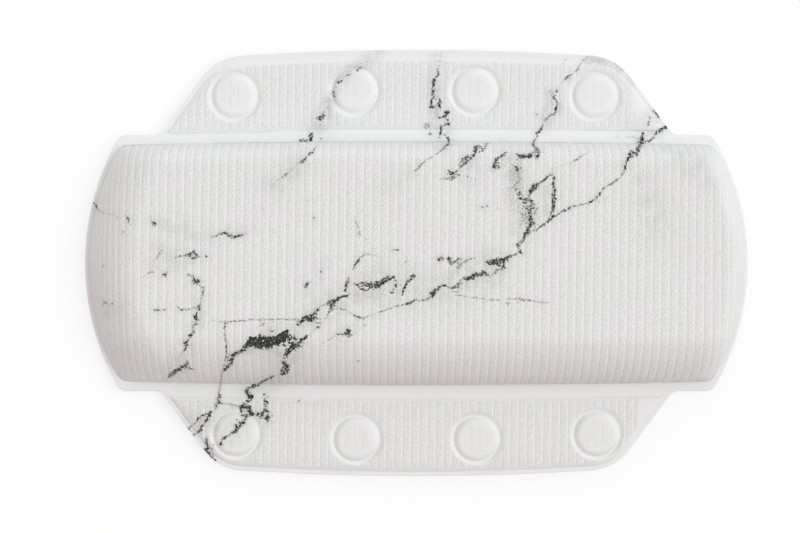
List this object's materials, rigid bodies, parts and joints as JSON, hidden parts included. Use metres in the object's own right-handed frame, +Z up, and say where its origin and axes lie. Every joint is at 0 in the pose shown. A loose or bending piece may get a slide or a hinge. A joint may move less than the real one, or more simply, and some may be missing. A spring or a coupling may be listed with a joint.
{
  "type": "bath pillow",
  "caption": "Soft foam-vinyl bath pillow: a ribbed neck bolster between two fold-back flaps that hold on to a bath with plug-in suction cups.",
  "frame": {"origin": "on the floor under the middle of the bolster, with the pillow lying on its back on its suction cups", "axes": "+Z up, out of the front that the head rests on; +Y towards the upper flap; +X along the bolster"},
  "size_m": [0.56, 0.36, 0.0597],
  "materials": {
    "foam_vinyl": "soft foamed vinyl, pale with a grey marble print, embossed in knitted ribs",
    "back_vinyl": "plain smooth white vinyl sheet",
    "filling": "soft off-white filling, hidden",
    "clear_vinyl": "clear soft vinyl, glossy"
  },
  "bodies": {
    "bolster": {"bolster_cover": "foam_vinyl", "bolster_filling": "filling", "bolster_back": "back_vinyl"},
    "upper_flap": {"upper_flap_cover": "foam_vinyl", "upper_flap_back": "back_vinyl"},
    "upper_cup_1": {"upper_suction_cup_1": "clear_vinyl"},
    "upper_cup_2": {"upper_suction_cup_2": "clear_vinyl"},
    "upper_cup_3": {"upper_suction_cup_3": "clear_vinyl"},
    "upper_cup_4": {"upper_suction_cup_4": "clear_vinyl"},
    "lower_flap": {"lower_flap_cover": "foam_vinyl", "lower_flap_back": "back_vinyl"},
    "lower_cup_1": {"lower_suction_cup_1": "clear_vinyl"},
    "lower_cup_2": {"lower_suction_cup_2": "clear_vinyl"},
    "lower_cup_3": {"lower_suction_cup_3": "clear_vinyl"},
    "lower_cup_4": {"lower_suction_cup_4": "clear_vinyl"}
  },
  "joints": [
    {"name": "upper_flap_fold", "type": "hinge", "parent": "bolster", "child": "upper_flap", "pos_m": [0, 0.1085, 0.0118], "axis": [1, 0, 0], "range_deg": [-90, 75]},
    {"name": "upper_cup_1_spin", "type": "hinge", "parent": "upper_flap", "child": "upper_cup_1", "pos_m": [-0.15216, 0.1403, 0], "axis": [0, 0, 1], "continuous": true},
    {"name": "upper_cup_2_spin", "type": "hinge", "parent": "upper_flap", "child": "upper_cup_2", "pos_m": [-0.05072, 0.1445, 0], "axis": [0, 0, 1], "continuous": true},
    {"name": "upper_cup_3_spin", "type": "hinge", "parent": "upper_flap", "child": "upper_cup_3", "pos_m": [0.05072, 0.1445, 0], "axis": [0, 0, 1], "continuous": true},
    {"name": "upper_cup_4_spin", "type": "hinge", "parent": "upper_flap", "child": "upper_cup_4", "pos_m": [0.15216, 0.1403, 0], "axis": [0, 0, 1], "continuous": true},
    {"name": "lower_flap_fold", "type": "hinge", "parent": "bolster", "child": "lower_flap", "pos_m": [0, -0.1085, 0.0118], "axis": [-1, 0, 0], "range_deg": [-90, 75]},
    {"name": "lower_cup_1_spin", "type": "hinge", "parent": "lower_flap", "child": "lower_cup_1", "pos_m": [-0.15216, -0.1444, 0], "axis": [0, 0, 1], "continuous": true},
    {"name": "lower_cup_2_spin", "type": "hinge", "parent": "lower_flap", "child": "lower_cup_2", "pos_m": [-0.05072, -0.1484, 0], "axis": [0, 0, 1], "continuous": true},
    {"name": "lower_cup_3_spin", "type": "hinge", "parent": "lower_flap", "child": "lower_cup_3", "pos_m": [0.05072, -0.1484, 0], "axis": [0, 0, 1], "continuous": true},
    {"name": "lower_cup_4_spin", "type": "hinge", "parent": "lower_flap", "child": "lower_cup_4", "pos_m": [0.15216, -0.1444, 0], "axis": [0, 0, 1], "continuous": true}
  ]
}
